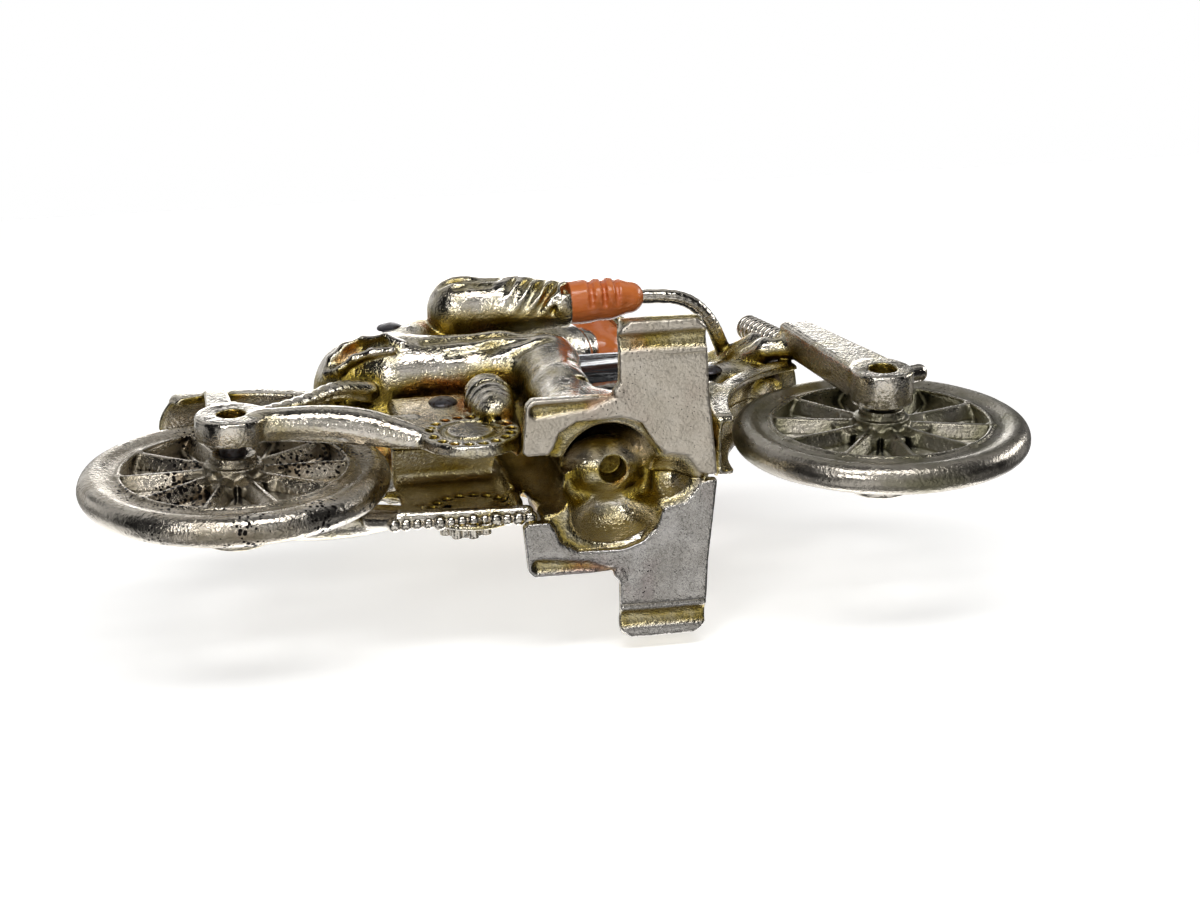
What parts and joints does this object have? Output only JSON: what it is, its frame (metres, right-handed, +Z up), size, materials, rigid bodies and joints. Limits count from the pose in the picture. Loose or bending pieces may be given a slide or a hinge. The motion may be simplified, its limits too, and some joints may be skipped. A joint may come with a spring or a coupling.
{
  "type": "toy motorcycle with rider",
  "caption": "Cast toy racing motorcycle with a crouching rider, foot plates that prop it up and loose spoked wheels.",
  "frame": {"origin": "on the ground plane, on the middle plane, midway between the two axles", "axes": "+X points forward, +Y to the rider's left, +Z up"},
  "size_m": [0.221, 0.075, 0.1298],
  "materials": {
    "nickel_casting": "nickel plated and tumbled, satin to bright",
    "nickel_wheel": "nickel plated, worn and pitted",
    "orange_enamel": "gloss enamel",
    "black_enamel": "brushed-on gloss enamel",
    "steel_pin": "dark, peened"
  },
  "bodies": {
    "body": {"right_rear_stays": "nickel_casting", "left_rear_stays": "nickel_casting", "right_fork_leg": "nickel_casting", "left_fork_leg": "nickel_casting", "right_backbone": "nickel_casting", "left_backbone": "nickel_casting", "right_handlebar": "nickel_casting", "left_handlebar": "nickel_casting", "right_crankcase": "nickel_casting", "left_crankcase": "nickel_casting", "right_foot_plate": "nickel_casting", "left_foot_plate": "nickel_casting", "right_rider": "nickel_casting", "left_rider": "nickel_casting", "right_hand": "orange_enamel", "left_hand": "orange_enamel", "right_face": "orange_enamel", "left_face": "orange_enamel", "right_cap": "nickel_casting", "left_cap": "nickel_casting", "right_tank": "black_enamel", "left_tank": "black_enamel", "right_rear_mudguard": "nickel_casting", "left_rear_mudguard": "nickel_casting", "right_front_mudguard": "nickel_casting", "left_front_mudguard": "nickel_casting", "right_chainwheel": "nickel_casting", "left_chainwheel": "nickel_casting", "right_fork_spring": "nickel_casting", "left_fork_spring": "nickel_casting", "rear_axle": "steel_pin", "front_axle": "steel_pin", "hip_rivet": "steel_pin", "crankcase_rivet": "steel_pin", "neck_rivet": "steel_pin"},
    "rear_wheel": {"rear_wheel": "nickel_wheel"},
    "front_wheel": {"front_wheel": "nickel_wheel"}
  },
  "joints": [
    {"name": "rear_wheel_spin", "type": "hinge", "parent": "body", "child": "rear_wheel", "pos_m": [-0.0755, 0, 0.035], "axis": [0, 1, 0], "continuous": true},
    {"name": "front_wheel_spin", "type": "hinge", "parent": "body", "child": "front_wheel", "pos_m": [0.0755, 0, 0.035], "axis": [0, 1, 0], "continuous": true}
  ]
}
